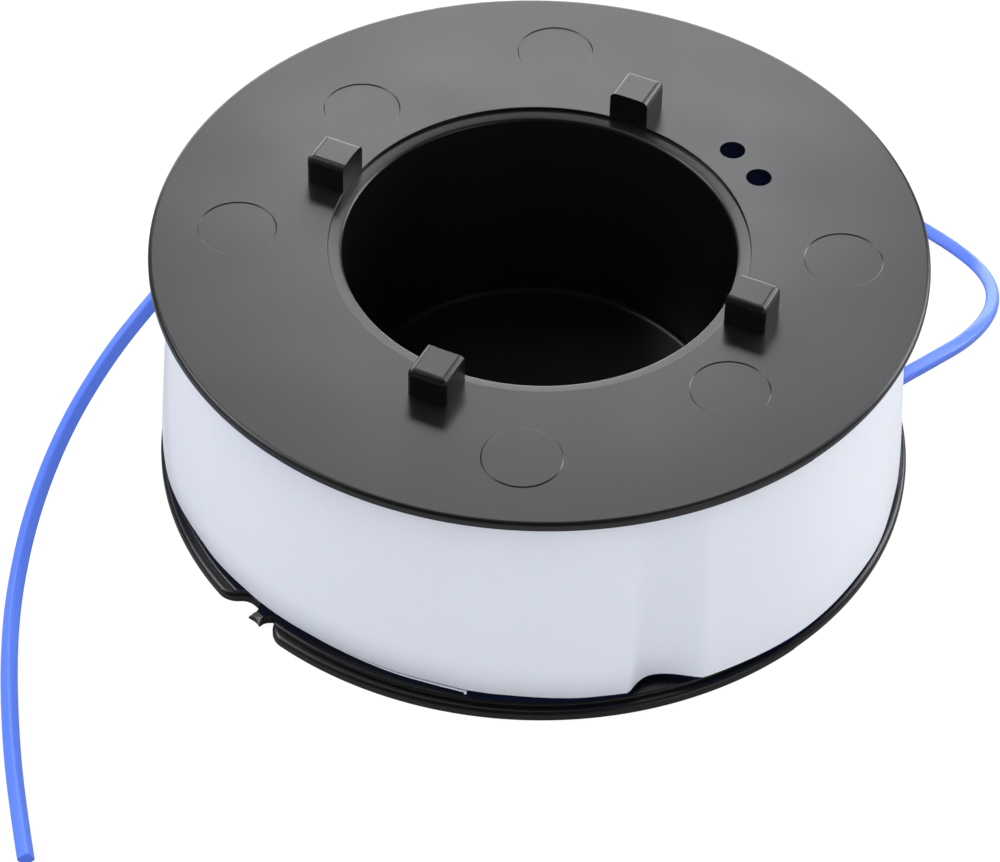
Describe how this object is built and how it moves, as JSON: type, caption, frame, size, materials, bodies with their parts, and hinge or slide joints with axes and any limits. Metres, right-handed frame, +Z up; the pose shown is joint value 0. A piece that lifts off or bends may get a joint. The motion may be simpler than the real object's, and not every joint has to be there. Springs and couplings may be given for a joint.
{
  "type": "trimmer line spool",
  "caption": "Flanged moulded spool with drive lugs and a deep hub bore, wound with cutting line under a white band, its free ends lying loose.",
  "frame": {"origin": "centre of the underside of the bottom flange", "axes": "+Z up along the spool's axis; +X through the first of the four evenly spaced pin marks, with the split line of the mould at -45 and 135 degrees"},
  "size_m": [0.1223, 0.1269, 0.0377],
  "materials": {
    "black_moulding": "satin moulded",
    "blue_line": "soft gloss, slightly translucent",
    "white_film": "smooth film"
  },
  "bodies": {
    "root": {"spool_body": "black_moulding", "line_winding": "blue_line", "retaining_band": "white_film", "line_tail_left": "blue_line", "line_tail_right": "blue_line"}
  },
  "joints": []
}
